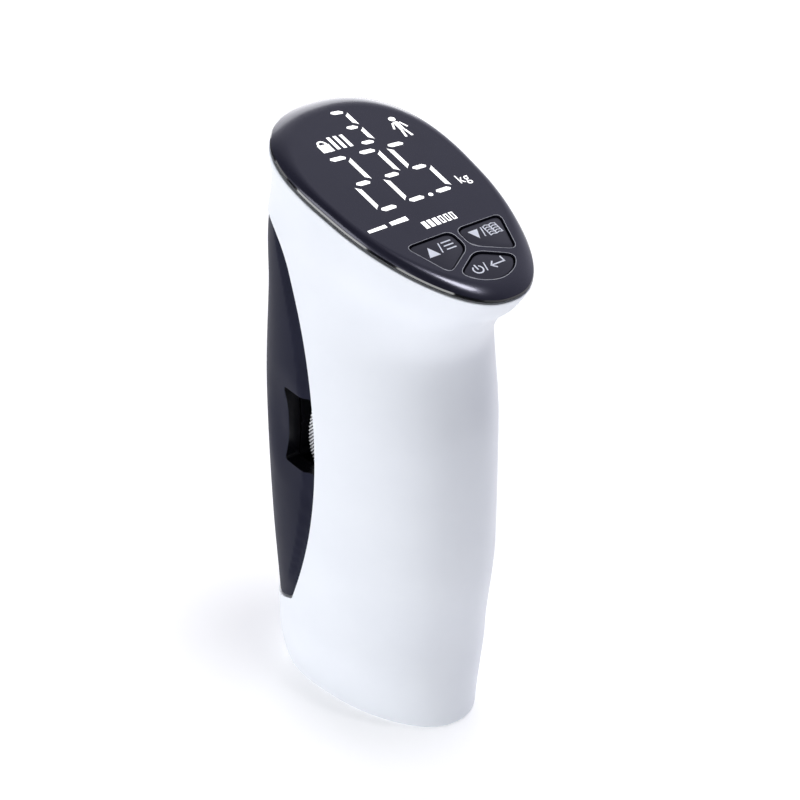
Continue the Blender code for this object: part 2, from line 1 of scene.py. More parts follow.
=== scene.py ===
"""Looks of the hand dynamometer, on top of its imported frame.

The fine pieces follow the same driving dimensions as the frame: +X is the palm side,
-X the finger side and Y = 0 the symmetry plane. Lengths are in millimetres until MM turns
them into metres; materials, lights and the camera are in metres from the start.
"""
import math

import bmesh
import bpy
from mathutils import Matrix, Vector


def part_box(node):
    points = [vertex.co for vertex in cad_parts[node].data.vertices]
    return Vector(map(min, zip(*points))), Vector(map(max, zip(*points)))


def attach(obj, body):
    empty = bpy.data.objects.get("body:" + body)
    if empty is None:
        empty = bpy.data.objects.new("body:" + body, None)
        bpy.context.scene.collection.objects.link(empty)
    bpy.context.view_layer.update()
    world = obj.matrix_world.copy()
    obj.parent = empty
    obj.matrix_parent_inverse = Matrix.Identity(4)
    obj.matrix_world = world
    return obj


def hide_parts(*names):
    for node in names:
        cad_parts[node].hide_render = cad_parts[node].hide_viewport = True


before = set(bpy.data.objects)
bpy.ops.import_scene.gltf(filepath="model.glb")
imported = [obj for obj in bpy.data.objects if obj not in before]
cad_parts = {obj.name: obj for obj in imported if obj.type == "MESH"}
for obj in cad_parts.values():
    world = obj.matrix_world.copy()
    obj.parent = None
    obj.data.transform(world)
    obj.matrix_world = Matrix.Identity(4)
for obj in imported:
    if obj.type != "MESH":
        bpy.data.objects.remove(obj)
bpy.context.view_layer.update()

MM = 0.001

# ---- driving dimensions of the body, as in the frame ---------------------------------------
GAP = 0.35                # clearance of the grip in the shell
RIM_Z = 120.2             # height of the head's rim plane on the middle line
TILT = math.radians(14.9)
TILT_START = 0.3          # share of the height where the sections begin to tilt
TILT_EASE = 1.5
SQUARENESS = 2.33         # exponent of the egg-shaped section; 2 would be an ellipse
EGG = 0.22                # lean of its widest place towards the finger side
SIDE_PROFILE = [          # height, finger-side x, palm-side x
    (0.0, -31.9, 17.6),
    (3.6, -32.6, 17.5),
    (9.6, -31.8, 17.4),
    (18.0, -29.9, 17.5),
    (42.0, -31.7, 20.4),
    (72.0, -32.5, 20.5),
    (94.0, -31.6, 18.8),
    (106.0, -33.1, 23.7),
    (113.0, -32.5, 30.1),
    (RIM_Z, -34.7, 34.7),
]
HALF_WIDTHS = [(0.0, 15.7), (18.0, 20.0), (72.0, 21.4), (RIM_Z, 19.2)]
FRONT_CURVE = [(row[0], row[1]) for row in SIDE_PROFILE]
BACK_CURVE = [(row[0], row[2]) for row in SIDE_PROFILE]
WALL = 2.0
FLOOR = 2.4
FOOT_EDGE = 1.2           # radius of the rounded lower edge
SHELL_TOP = -0.7          # top of the shell, above the rim plane
DOOR_INSET = 2.9
DOOR_EDGE_X = -5.4
DOOR_GAP = 0.3

# ---- opening for the grip, in side view ----------------------------------------------------
MOUTH_RADIUS = 93.0
MOUTH_APEX_X = -4.5
MOUTH_MID_Z = 66.0
MOUTH_LOW_Z = 24.5
MOUTH_TURN_Z = 105.5
MOUTH_TOP_Z = 113.3
KNEE_REACH = 4.1          # the bend at the top: where its control point and its end lie,
BEND_REACH = 12.6         # measured forwards from the turn
LEDGE_Z = 20.0
NOSE_X = -33.0

# ---- grip ----------------------------------------------------------------------------------
PAD_Z = (14.0, 117.0)     # the pad is lofted past the opening at both ends and then cut
SKIRT = 16.0              # how far the inner wall reaches in behind the shell's edge
SKIRT_Z = (30.0, 104.0)
SKIRT_FRONT_X = NOSE_X + 8
HOLLOW_Z = (27.5, 106.0)
GRIP_WALL = 1.8
SIDE_FADE_Y = (6.0, 14.0)          # the pressed shapes fade out towards the nose
BAND_DEPTH = 0.75                  # pressed band beside the shell's edge
BAND_FADE = (2.7, 3.5)             # distances from the edge
BAND_START_Z = (28.0, 34.0)
SCOOP_DEPTH = 1.1                  # shallow scoop for the thumb round the slot
SCOOP_MIDDLE = (-15.0, 68.5)
SCOOP_REACH = (9.0, 15.0)
SCOOP_FADE = (0.15, 1.0)           # shares of the reach
SLOT_Z = (59.6, 77.4)
SLOT_FRONT_X = -15.3
SLOT_BOW = 1.1
SLOT_CORNER = 1.1
SLOT_BACK_X = 20.0                 # past the grip, so that the slot is open at the back
LINER_Y = (9.6, 17.2)
LINER_DEPTH = 1.2
LINER_STEP = 0.05                  # the liner stands this far back from the slot's edge

# ---- display and keys ----------------------------------------------------------------------
FACE_HALF_LENGTH = SIDE_PROFILE[-1][2]
FACE_HALF_WIDTH = HALF_WIDTHS[-1][1]
FACE_H = 1.9              # flat face, above the rim plane
CROWN_LOW = 0.5           # lower end of the crowned border, above the rim plane
CROWN_INSET = 0.52
BORDER_SIDE = 1.75        # width of the border along the sides
BORDER_MORE = 3.4         # how much wider it is at the two ends
# Sections of the pieces round the head: pairs of inset from the outline and height.
COVER_UNDERSIDE = [(3.4, 0.55), (3.0, 0.1), (CROWN_INSET + 0.2, 0.1), (CROWN_INSET, 0.2)]
RIM_BAND = [(0.60, 0.10), (0.32, 0.13), (0.51, 0.50), (0.75, 0.55)]
GASKET = [(0.85, -0.05), (0.7, -0.2), (0.85, -0.45), (3.0, -0.45), (3.0, -0.05)]
# Corners of the keys on the face: pairs of distance down it and across it.
SIDE_BUTTON = [(13.9, 11.8), (13.9, 0.85), (19.1, 0.85), (23.8, 8.3)]
END_BUTTON = [(21.1, 0.0), (25.2, 6.7), (28.3, 4.3), (29.7, 0.0)]
CORNER_R = 1.9
BUTTONS_Y = 0.4           # the keys stand this far off the middle
BUTTON_TOP = FACE_H - 0.3
BUTTON_FLANGE = 0.5       # hidden step that keeps a key in its opening
FLANGE_H = (-0.88, 0.05)
BUTTON_EDGE = 0.3         # radius of a key's upper edge
OPENING_GAP = 0.28
TRIM = [(0.50, -0.05), (0.46, 0.03), (0.34, 0.03), (0.30, -0.05)]   # height is above the face

# ---- wheel ---------------------------------------------------------------------------------
BORE = 3.05
TEETH = 130
POINTS_PER_TOOTH = 6
KNURL_DEPTH = 0.55
KNURL_TWIST = 9.0         # teeth that the slant passes over the wheel's width
WHEEL_CHAMFER = 0.7

# ---- fineness of the lofted shapes ---------------------------------------------------------
RING_POINTS = 160
PAD_POINTS = 200
INNER_POINTS = 120
CUTTER_REACH = 40.0       # half width of the cutters that go right through the body


# ---- materials -----------------------------------------------------------------------------
WHITE = (1.0, 1.0, 1.0)
COOL = (0.80, 0.80, 1.0)           # specular tint of the cover and the keys
COAT_ROUGHNESS = 0.06
PLASTIC_PATCHES = (60.0, 240.0)    # noise scales of the shade and of the gloss, per metre
METAL_PATCHES = (300.0, 900.0)
PLASTIC_BUMP = 0.00004
METAL_BUMP = 0.00003
TINT_SPAN = (0.3, 0.7)             # noise values where the two shades are reached


def shader_material(name, roughness, metallic=0.0, coat=0.0, specular=0.5,
                    specular_tint=WHITE):
    """New Principled material; returns it with its node tree and shader."""
    mat = bpy.data.materials.new(name)
    mat.use_nodes = True
    tree = mat.node_tree
    shader = tree.nodes["Principled BSDF"]
    shader.inputs["Roughness"].default_value = roughness
    shader.inputs["Metallic"].default_value = metallic
    shader.inputs["Coat Weight"].default_value = coat
    shader.inputs["Coat Roughness"].default_value = COAT_ROUGHNESS
    shader.inputs["Specular IOR Level"].default_value = specular
    shader.inputs["Specular Tint"].default_value = (*specular_tint, 1.0)
    return mat, tree, shader


def noise(tree, scale, detail=3.0):
    """Noise in object coordinates, which are metres."""
    place = tree.nodes.new("ShaderNodeTexCoord")
    texture = tree.nodes.new("ShaderNodeTexNoise")
    texture.inputs["Scale"].default_value = scale
    texture.inputs["Detail"].default_value = detail
    tree.links.new(place.outputs["Object"], texture.inputs["Vector"])
    return texture.outputs["Fac"]


def tint(tree, shader, factor, low, high):
    """Colour that wanders between two close shades."""
    ramp = tree.nodes.new("ShaderNodeValToRGB")
    ramp.color_ramp.elements[0].position = TINT_SPAN[0]
    ramp.color_ramp.elements[0].color = (*low, 1.0)
    ramp.color_ramp.elements[1].position = TINT_SPAN[1]
    ramp.color_ramp.elements[1].color = (*high, 1.0)
    tree.links.new(factor, ramp.inputs["Fac"])
    tree.links.new(ramp.outputs["Color"], shader.inputs["Base Color"])


def vary_roughness(tree, shader, factor, low, high):
    """Gloss that wanders between two values of roughness."""
    span = tree.nodes.new("ShaderNodeMapRange")
    span.inputs["To Min"].default_value = low
    span.inputs["To Max"].default_value = high
    tree.links.new(factor, span.inputs["Value"])
    tree.links.new(span.outputs["Result"], shader.inputs["Roughness"])


def bump(tree, shader, factor, strength, distance):
    """Fine relief; distance is its full height in metres."""
    node = tree.nodes.new("ShaderNodeBump")
    node.inputs["Strength"].default_value = strength
    node.inputs["Distance"].default_value = distance
    tree.links.new(factor, node.inputs["Height"])
    tree.links.new(node.outputs["Normal"], shader.inputs["Normal"])


def plastic(name, low, high, rough, grain_scale, grain, coat=0.0, specular=0.5,
            specular_tint=WHITE):
    """Moulded plastic: two close shades, uneven gloss and a fine mould grain."""
    mat, tree, shader = shader_material(name, sum(rough) / 2, coat=coat, specular=specular,
                                        specular_tint=specular_tint)
    tint(tree, shader, noise(tree, PLASTIC_PATCHES[0]), low, high)
    vary_roughness(tree, shader, noise(tree, PLASTIC_PATCHES[1]), *rough)
    if grain > 0:
        bump(tree, shader, noise(tree, grain_scale, detail=2.0), grain, PLASTIC_BUMP)
    return mat


def metal(name, low, high, rough, grain_scale, grain, metallic=1.0):
    """Metal with two close shades, uneven gloss and fine machining marks."""
    mat, tree, shader = shader_material(name, sum(rough) / 2, metallic=metallic)
    tint(tree, shader, noise(tree, METAL_PATCHES[0]), low, high)
    vary_roughness(tree, shader, noise(tree, METAL_PATCHES[1]), *rough)
    bump(tree, shader, noise(tree, grain_scale, detail=2.0), grain, METAL_BUMP)
    return mat


def lit_segment(name, colour, strength):
    """Display segment that gives light, a little uneven over its length."""
    mat, tree, shader = shader_material(name, 0.5)
    darker = [channel * 0.94 for channel in colour]
    tint(tree, shader, noise(tree, 500.0), darker, colour)
    shader.inputs["Emission Color"].default_value = (*colour, 1.0)
    shader.inputs["Emission Strength"].default_value = strength
    return mat


def circuit_board(name):
    """Green solder mask with a printed grid of tracks."""
    mat, tree, shader = shader_material(name, 0.4)
    place = tree.nodes.new("ShaderNodeTexCoord")
    bricks = tree.nodes.new("ShaderNodeTexBrick")
    bricks.inputs["Scale"].default_value = 300.0
    bricks.inputs["Mortar Size"].default_value = 0.03
    bricks.inputs["Color1"].default_value = (0.015, 0.13, 0.05, 1.0)
    bricks.inputs["Color2"].default_value = (0.02, 0.16, 0.07, 1.0)
    bricks.inputs["Mortar"].default_value = (0.05, 0.3, 0.12, 1.0)
    tree.links.new(place.outputs["Object"], bricks.inputs["Vector"])
    tree.links.new(bricks.outputs["Color"], shader.inputs["Base Color"])
    vary_roughness(tree, shader, noise(tree, 700.0), 0.3, 0.5)
    return mat


# Each row gives the two shades, the span of roughness, and the grain's scale and strength.
MATERIALS = {
    "white": plastic("shell_white", (0.80, 0.83, 0.88), (0.83, 0.86, 0.905), (0.32, 0.40),
                     9000.0, 0.05, coat=0.1),
    "satin": plastic("cover_satin_grey", (0.012, 0.012, 0.021), (0.016, 0.016, 0.027),
                     (0.20, 0.25), 9000.0, 0.05, coat=0.15, specular_tint=COOL),
    "button": plastic("button_satin_grey", (0.007, 0.007, 0.012), (0.009, 0.009, 0.015),
                      (0.28, 0.34), 9000.0, 0.08, coat=0.2, specular_tint=COOL),
    "grip": plastic("grip_black", (0.011, 0.012, 0.025), (0.015, 0.016, 0.032), (0.40, 0.50),
                    5000.0, 0.12, specular=0.06),
    "gloss": plastic("bead_gloss", (0.003, 0.003, 0.005), (0.005, 0.005, 0.007), (0.05, 0.08),
                     6000.0, 0.0, specular=1.0),
    # Painted highlight: a lighter grey for the ring round each key opening, in place of the light
    # its edge catches.
    "edge_highlight": plastic("opening_edge_highlight", (0.38, 0.39, 0.43), (0.44, 0.45, 0.49), (0.25, 0.35),
                    6000.0, 0.05, coat=0.4),
    # Painted shade: a black darker than the grip's own, for the thumb slot's walls and liner.
    "pocket_shade": plastic("pocket_black_painted_shade", (0.003, 0.003, 0.005), (0.005, 0.005, 0.007),
                      (0.22, 0.3), 4000.0, 0.0, specular=0.25),
    "rubber": plastic("gasket_rubber", (0.006, 0.006, 0.006), (0.010, 0.010, 0.010),
                      (0.65, 0.8), 4000.0, 0.1, specular=0.2),
    "dark": plastic("dark_plastic", (0.02, 0.02, 0.022), (0.03, 0.03, 0.033), (0.45, 0.6),
                    5000.0, 0.15),
    "steel": metal("bright_steel", (0.72, 0.72, 0.73), (0.80, 0.80, 0.81), (0.2, 0.3),
                   6000.0, 0.1),
    "knurl": metal("knurled_steel", (0.88, 0.89, 0.91), (0.94, 0.95, 0.96), (0.30, 0.4),
                   6000.0, 0.1, metallic=0.6),
    # Painted shade: a dark metal laid in the bottoms of the knurl's grooves, where shade falls.
    "knurl_shade": metal("knurl_groove_painted_shade", (0.10, 0.10, 0.11), (0.16, 0.16, 0.17), (0.40, 0.5),
                    6000.0, 0.1),
    "anodised": metal("anodised_black", (0.03, 0.03, 0.032), (0.05, 0.05, 0.052), (0.3, 0.4),
                      5000.0, 0.2),
    "alloy": metal("machined_alloy", (0.60, 0.61, 0.63), (0.68, 0.69, 0.71), (0.3, 0.42),
                   5000.0, 0.25),
    "board": circuit_board("circuit_board"),
    "film": plastic("gauge_film", (0.55, 0.28, 0.05), (0.65, 0.35, 0.08), (0.3, 0.4),
                    4000.0, 0.1),
    "display": plastic("display_body", (0.78, 0.78, 0.80), (0.85, 0.85, 0.87), (0.4, 0.5),
                       4000.0, 0.1),
    "cell": plastic("battery_wrap", (0.08, 0.14, 0.30), (0.10, 0.18, 0.36), (0.25, 0.35),
                    4000.0, 0.05),
    "signal": plastic("signal_wire", (0.45, 0.45, 0.48), (0.55, 0.55, 0.58), (0.5, 0.6),
                      4000.0, 0.1),
    "power": plastic("power_wire", (0.40, 0.03, 0.02), (0.5, 0.04, 0.03), (0.5, 0.6),
                     4000.0, 0.1),
    "led": lit_segment("led_white", WHITE, 0.9),
    # Printed light grey legends on the keys, with a faint painted glow from their emission.
    "legend": lit_segment("legend_grey_painted_glow", (0.80, 0.83, 0.92), 0.07),
}


# ---- mesh helpers --------------------------------------------------------------------------
def new_object(name, bm, materials=(), smooth_angle=None):
    """Turn a bmesh in millimetres into an object in metres."""
    bmesh.ops.scale(bm, verts=bm.verts, vec=(MM, MM, MM))
    bmesh.ops.recalc_face_normals(bm, faces=bm.faces)
    mesh = bpy.data.meshes.new(name)
    bm.to_mesh(mesh)
    bm.free()
    for key in materials:
        mesh.materials.append(MATERIALS[key])
    obj = bpy.data.objects.new(name, mesh)
    bpy.context.scene.collection.objects.link(obj)
    if smooth_angle:
        mesh.shade_smooth()
        mesh.set_sharp_from_angle(angle=math.radians(smooth_angle))
    return obj


def bake(obj):
    """Replace the object's mesh with the result of its modifiers."""
    bpy.context.view_layer.update()
    evaluated = obj.evaluated_get(bpy.context.evaluated_depsgraph_get())
    mesh = bpy.data.meshes.new_from_object(evaluated)
    obj.modifiers.clear()
    obj.data = mesh


def carve(obj, cuts):
    """Apply Booleans in order; each is an operation and a cutter, which is then removed."""
    for operation, cutter in cuts:
        modifier = obj.modifiers.new("carve", "BOOLEAN")
        modifier.operation = operation
        modifier.solver = "EXACT"
        modifier.object = cutter
    bake(obj)
    for _, cutter in cuts:
        bpy.data.objects.remove(cutter, do_unlink=True)


def soften(obj, width, segments=2, angle=50, smooth_angle=40):
    """Round the sharp edges and shade the rest smooth."""
    modifier = obj.modifiers.new("soften", "BEVEL")
    modifier.width = width * MM
    modifier.segments = segments
    modifier.limit_method = "ANGLE"
    modifier.angle_limit = math.radians(angle)
    modifier.use_clamp_overlap = True
    bake(obj)
    obj.data.shade_smooth()
    obj.data.set_sharp_from_angle(angle=math.radians(smooth_angle))
    weighting = obj.modifiers.new("weighting", "WEIGHTED_NORMAL")
    weighting.keep_sharp = True
    bake(obj)


def loft(rings, closed=False):
    """Solid through rings of equally many points: flat ends, or closed onto itself."""
    bm = bmesh.new()
    loops = [[bm.verts.new(point) for point in ring] for ring in rings]
    count = len(loops[0])
    following = loops[1:] + loops[:1] if closed else loops[1:]
    for low, high in zip(loops, following):
        for i in range(count):
            j = (i + 1) % count
            bm.faces.new((low[i], low[j], high[j], high[i]))
    if not closed:
        bm.faces.new(list(reversed(loops[0])))
        bm.faces.new(loops[-1])
    return bm


def prism_y(outline, low, high):
    """Side-view outline of (x, z) points pushed out along Y."""
    return loft([[(x, y, z) for x, z in outline] for y in (low, high)])


def cutter_y(outline):
    """Side-view outline pushed right through the body."""
    return prism_y(outline, -CUTTER_REACH, CUTTER_REACH)


def together(solids):
    """One bmesh with the faces of several, which are freed."""
    whole = bmesh.new()
    for solid in solids:
        mesh = bpy.data.meshes.new("solid")
        solid.to_mesh(mesh)
        solid.free()
        whole.from_mesh(mesh)
        bpy.data.meshes.remove(mesh)
    return whole


def steps(start, end, count):
    """Evenly spaced values from start to end, both included."""
    return [start + (end - start) * i / (count - 1) for i in range(count)]


def smoothstep(low, high, value):
    """Soft step from 0 at low to 1 at high."""
    t = min(1.0, max(0.0, (value - low) / (high - low)))
    return t * t * (3 - 2 * t)


def smooth_value(table, z):
    """Monotone cubic through (z, value) pairs, level beyond both ends."""
    if z <= table[0][0]:
        return table[0][1]
    if z >= table[-1][0]:
        return table[-1][1]
    spans = [b[0] - a[0] for a, b in zip(table, table[1:])]
    slopes = [(b[1] - a[1]) / h for a, b, h in zip(table, table[1:], spans)]

    def tangent(i):
        if i == 0:
            return slopes[0]
        if i == len(slopes):
            return slopes[-1]
        if slopes[i - 1] * slopes[i] <= 0:
            return 0.0
        return 2 * slopes[i - 1] * slopes[i] / (slopes[i - 1] + slopes[i])

    i = max(k for k, pair in enumerate(table[:-1]) if pair[0] <= z)
    t = (z - table[i][0]) / spans[i]
    return ((2 * t ** 3 - 3 * t ** 2 + 1) * table[i][1]
            + (t ** 3 - 2 * t ** 2 + t) * spans[i] * tangent(i)
            + (3 * t ** 2 - 2 * t ** 3) * table[i + 1][1]
            + (t ** 3 - t ** 2) * spans[i] * tangent(i + 1))


# ---- the outer body's surface --------------------------------------------------------------
def egg_point(half_length, half_width, angle):
    """Point of the egg-shaped section, the wide end on the finger side."""
    c = math.cos(angle)
    s = math.sin(angle)
    x = half_length * math.copysign(abs(c) ** (2 / SQUARENESS), c)
    y = half_width * math.copysign(abs(s) ** (2 / SQUARENESS), s) * (1 - EGG * c)
    return x, y


def body_ring(z, inset=0.0, count=RING_POINTS):
    """Section of the body at a height on the middle line, drawn in by inset."""
    level = min(z, RIM_Z)
    front = smooth_value(FRONT_CURVE, level)
    back = smooth_value(BACK_CURVE, level)
    half_width = smooth_value(HALF_WIDTHS, level)
    tilt = TILT * max(0.0, (level / RIM_Z - TILT_START) / (1 - TILT_START)) ** TILT_EASE
    lift = z - level
    points = []
    for i in range(count):
        x, y = egg_point((back - front) / 2 - inset, half_width - inset, math.tau * i / count)
        points.append(((front + back) / 2 + x * math.cos(tilt) + lift * math.sin(tilt), y,
                       level - x * math.sin(tilt) + lift * math.cos(tilt)))
    return points


def inner_loft(inset, low, high, levels):
    """Solid with the body's shape drawn in by inset, for the walls inside."""
    return loft([body_ring(z, inset, INNER_POINTS) for z in steps(low, high, levels)])


def face_point(down, across, height):
    """Point on the display: down the face, across it, and above the rim plane."""
    return (down * math.cos(TILT) + height * math.sin(TILT), across,
            RIM_Z - down * math.sin(TILT) + height * math.cos(TILT))


def outline_point(inset, height, angle):
    """Point above the rim plane on the head's outline, drawn in by inset."""
    x, y = egg_point(FACE_HALF_LENGTH - inset, FACE_HALF_WIDTH - inset, angle)
    return face_point(x, y, height)


def face_ring(inset, height):
    """The head's outline, drawn in by inset, at a height above the rim plane."""
    return [outline_point(inset, height, math.tau * i / RING_POINTS)
            for i in range(RING_POINTS)]


def mouth_x(z):
    """Side-view x of the shell's long curved edge."""
    return (MOUTH_APEX_X - MOUTH_RADIUS
            + math.sqrt(MOUTH_RADIUS ** 2 - (z - MOUTH_MID_Z) ** 2))


def mouth_outline(shift=0.0):
    """Side-view outline of the opening that the grip fills, drawn in by shift."""
    corner_x = mouth_x(MOUTH_LOW_Z)
    rise = MOUTH_LOW_Z - LEDGE_Z
    far_x = NOSE_X - 20
    points = [(far_x, LEDGE_Z + shift)]
    for t in steps(0, 1, 16):
        x = NOSE_X + t * (corner_x - NOSE_X)
        points.append((x - shift * t, LEDGE_Z + rise * t * t + shift))
    for z in steps(MOUTH_LOW_Z, MOUTH_TURN_Z, 80)[1:]:
        points.append((mouth_x(z) - shift, z))
    turn = Vector((mouth_x(MOUTH_TURN_Z), MOUTH_TURN_Z))
    knee = Vector((turn.x - KNEE_REACH, MOUTH_TOP_Z))
    level = Vector((turn.x - BEND_REACH, MOUTH_TOP_Z))
    for t in steps(0, 1, 17)[1:]:
        point = turn * (1 - t) ** 2 + knee * 2 * t * (1 - t) + level * t * t
        points.append((point.x - shift * (1 - t), point.y - shift * t))
    points.append((far_x, MOUTH_TOP_Z - shift))
    return points


# ---- white shell ---------------------------------------------------------------------------
def door_outline(inset, edge_x):
    """The base outline drawn in, cut off straight at edge_x."""
    ring = [(x, y) for x, y, _ in body_ring(0.0, inset)]
    side = [point for point in ring[:RING_POINTS // 2 + 1] if point[0] > edge_x]
    inner = side[-1]
    outer = ring[len(side)]
    share = (inner[0] - edge_x) / (inner[0] - outer[0])
    side.append((edge_x, inner[1] + share * (outer[1] - inner[1])))
    return side + [(x, -y) for x, y in reversed(side[1:])]


def make_shell():
    """White body: rounded foot, flared head, open mouth and way for the battery door."""
    rings = []
    for angle in steps(math.pi / 2, 0, 7):
        rings.append(body_ring(FOOT_EDGE * (1 - math.sin(angle)),
                               FOOT_EDGE * (1 - math.cos(angle))))
    top = RIM_Z + SHELL_TOP
    rings += [body_ring(z) for z in steps(FOOT_EDGE, top - 0.5, 110)[1:]]
    rings += [body_ring(top - 0.25, 0.05), body_ring(top - 0.08, 0.18), body_ring(top, 0.4)]
    shell = new_object("shell", loft(rings), ["white"])
    cavity = inner_loft(WALL, FLOOR, RIM_Z + 4, 60)
    door = [[(x, y, z) for x, y in door_outline(DOOR_INSET - DOOR_GAP, DOOR_EDGE_X - DOOR_GAP)]
            for z in (-1.0, FLOOR + 1.6)]
    carve(shell, [("DIFFERENCE", new_object("cavity", cavity)),
                  ("DIFFERENCE", new_object("mouth", cutter_y(mouth_outline()))),
                  ("DIFFERENCE", new_object("door_way", loft(door)))])
    soften(shell, 0.22)
    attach(shell, "housing")
    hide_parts("palm_housing")


# ---- black grip ----------------------------------------------------------------------------
def sculpt_grip(point):
    """Press the band beside the shell's edge and the thumb scoops into the grip's sides."""
    x, y, z = point
    edge_distance = mouth_x(z) - x if MOUTH_LOW_Z < z < MOUTH_TOP_Z else math.inf
    side = math.copysign(1.0, y) if abs(y) > 1e-6 else 0.0
    facing = smoothstep(*SIDE_FADE_Y, abs(y))
    band = BAND_DEPTH * (1 - smoothstep(*BAND_FADE, edge_distance)) * smoothstep(*BAND_START_Z, z)
    reach = math.hypot((x - SCOOP_MIDDLE[0]) / SCOOP_REACH[0],
                       (z - SCOOP_MIDDLE[1]) / SCOOP_REACH[1])
    scoop = SCOOP_DEPTH * (1 - smoothstep(*SCOOP_FADE, reach))
    return (x, y - side * facing * max(band, scoop), z)


def slot_front(t):
    """Side-view x of the slot's front edge, bowed inwards, with rounded ends; t is 0 to 1."""
    low, high = SLOT_Z
    to_end = min(t, 1 - t) * (high - low)
    short = max(0.0, 1 - to_end / SLOT_CORNER)
    corner = SLOT_CORNER * (1 - math.sqrt(max(0.0, 1 - short * short)))
    return SLOT_FRONT_X + SLOT_BOW * (1.0 - (2 * t - 1) ** 2) + corner


def slot_front_line():
    """Points up the slot's front edge, close together at its rounded corners."""
    low, high = SLOT_Z
    spread = [(1 - math.cos(math.pi * t)) / 2 for t in steps(0, 1, 33)]
    return [(slot_front(t), low + t * (high - low)) for t in spread]


def slot_outline():
    """Thumb slot in side view, open at the back."""
    return [(SLOT_BACK_X, SLOT_Z[0])] + slot_front_line() + [(SLOT_BACK_X, SLOT_Z[1])]


def wheel_size():
    """The wheel's two faces in x, its radius, and the height of its axis."""
    low, high = [[value / MM for value in corner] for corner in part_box("adjust_wheel")]
    return low[0], high[0], (high[2] - low[2]) / 2, (high[2] + low[2]) / 2


def wheel_way():
    """Cylinder that clears the wheel when the grip slides out."""
    front_x, _, wheel_radius, axis_z = wheel_size()
    radius = wheel_radius + 0.5
    return loft([[(x, radius * math.cos(math.tau * i / 96),
                   axis_z + radius * math.sin(math.tau * i / 96)) for i in range(96)]
                 for x in (front_x - 0.6, 25.0)])


def mark_slot_walls(grip):
    """Give the slot's inner faces the liner's glossy black, darker than the grip: painted shade.
    """
    low, high = SLOT_Z
    near = 0.02
    inner_y = 9.0
    for face in grip.data.polygons:
        x, y, z = face.center / MM
        if low - near < z < high + near and abs(y) > inner_y:
            if x > slot_front((min(high, max(low, z)) - low) / (high - low)) - near:
                face.material_index = 1


def make_skirt():
    """Inner wall that closes the gap to the shell while the grip is out."""
    low, high = SKIRT_Z
    skirt = new_object("skirt", inner_loft(WALL + GAP, low, high + 4, 50))
    outline = [(SKIRT_FRONT_X, low + 1), (mouth_x(low) + SKIRT, low + 1)]
    outline += [(mouth_x(z) + SKIRT, z) for z in steps(low, high, 40)[1:]]
    outline.append((SKIRT_FRONT_X, high))
    carve(skirt, [("INTERSECT", new_object("skirt_region", cutter_y(outline)))])
    return skirt


def make_grip():
    """Finger side: a sculpted pad and its skirt, hollow, with the thumb slot across it."""
    rings = [[sculpt_grip(point) for point in body_ring(z, GAP, PAD_POINTS)]
             for z in steps(*PAD_Z, 160)]
    grip = new_object("grip", loft(rings), ["grip", "pocket_shade"])
    skirt = make_skirt()
    hollow = inner_loft(WALL + GAP + GRIP_WALL, *HOLLOW_Z, 50)
    carve(grip, [("INTERSECT", new_object("pad_region", cutter_y(mouth_outline(GAP)))),
                 ("UNION", skirt),
                 ("DIFFERENCE", new_object("hollow", hollow)),
                 ("DIFFERENCE", new_object("slot", cutter_y(slot_outline()))),
                 ("DIFFERENCE", new_object("wheel_way", wheel_way()))])
    mark_slot_walls(grip)
    soften(grip, 0.25)
    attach(grip, "grip")
    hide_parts("finger_grip")


def make_slot_liner():
    """Glossy wall at the front of the thumb slot, which closes off the inside of the grip."""
    front = [(x - LINER_STEP, z) for x, z in slot_front_line()]
    outline = front + [(x - LINER_DEPTH, z) for x, z in reversed(front)]
    near, far = LINER_Y
    sides = together([prism_y(outline, near, far), prism_y(outline, -far, -near)])
    # The liner's near-black, darker than the grip, is painted shade deep in the slot.
    liner = new_object("slot_liner", sides, ["pocket_shade"])
    soften(liner, 0.15)
    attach(liner, "grip")


# ---- display cover, rim band and gasket ----------------------------------------------------
def crown_ring(t):
    """Outline on the crowned border: t runs from 0 at the rim to 1 at the flat face."""
    ring = []
    drop = FACE_H - CROWN_LOW
    for i in range(RING_POINTS):
        angle = math.tau * i / RING_POINTS
        width = BORDER_SIDE + BORDER_MORE * math.cos(angle) ** 2
        sweep = 2 * math.atan(drop / width)
        here = sweep * (1 - t)
        inset = CROWN_INSET + width * (1 - math.sin(here) / math.sin(sweep))
        height = FACE_H - width * (1 - math.cos(here)) / math.sin(sweep)
        ring.append(outline_point(inset, height, angle))
    return ring


def make_cover():
    """Black cover of the head: a flat face with a crowned border and three key openings."""
    rings = [face_ring(inset, height) for inset, height in COVER_UNDERSIDE]
    rings += [crown_ring(t) for t in steps(0, 1, 20)]
    cover = new_object("display_cover", loft(rings), ["satin"])
    holes = []
    for label, outline in button_outlines().items():
        hole = loft([offset_outline(outline, OPENING_GAP, height) for height in (-2.0, 4.0)])
        holes.append(("DIFFERENCE", new_object("hole_" + label, hole)))
    carve(cover, holes)
    soften(cover, 0.13, segments=3, angle=60, smooth_angle=30)
    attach(cover, "housing")
    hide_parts("display_fascia", "bezel_ring")


def make_rim_band():
    """Glossy band round the lower edge of the cover, leaning a little inwards."""
    rings = [face_ring(inset, height) for inset, height in RIM_BAND]
    band = new_object("cover_rim", loft(rings, closed=True), ["gloss"], smooth_angle=30)
    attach(band, "housing")


def make_gasket():
    """Dark seal between the cover and the shell."""
    rings = [face_ring(inset, height) for inset, height in GASKET]
    gasket = new_object("gasket", loft(rings, closed=True), ["rubber"], smooth_angle=60)
    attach(gasket, "housing")
    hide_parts("bezel_gasket")


